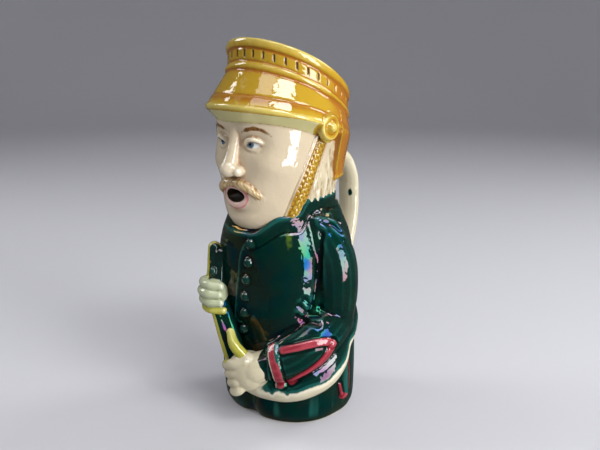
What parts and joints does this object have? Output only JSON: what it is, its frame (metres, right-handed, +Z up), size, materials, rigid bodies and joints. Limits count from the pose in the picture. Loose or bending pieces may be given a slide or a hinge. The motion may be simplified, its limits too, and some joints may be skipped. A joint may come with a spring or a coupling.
{
  "type": "figural jug",
  "caption": "Hollow glazed jug in the form of a fireman in a helmet, filled through the open helmet and poured through the mouth, with a loop handle behind.",
  "frame": {"origin": "middle of the figure's flat underside", "axes": "+Z up, the figure faces -Y and its left hand is at +X"},
  "size_m": [0.112, 0.1299, 0.2394],
  "materials": {
    "majolica_glaze": "gloss"
  },
  "bodies": {
    "root": {"jug": "majolica_glaze"}
  },
  "joints": []
}
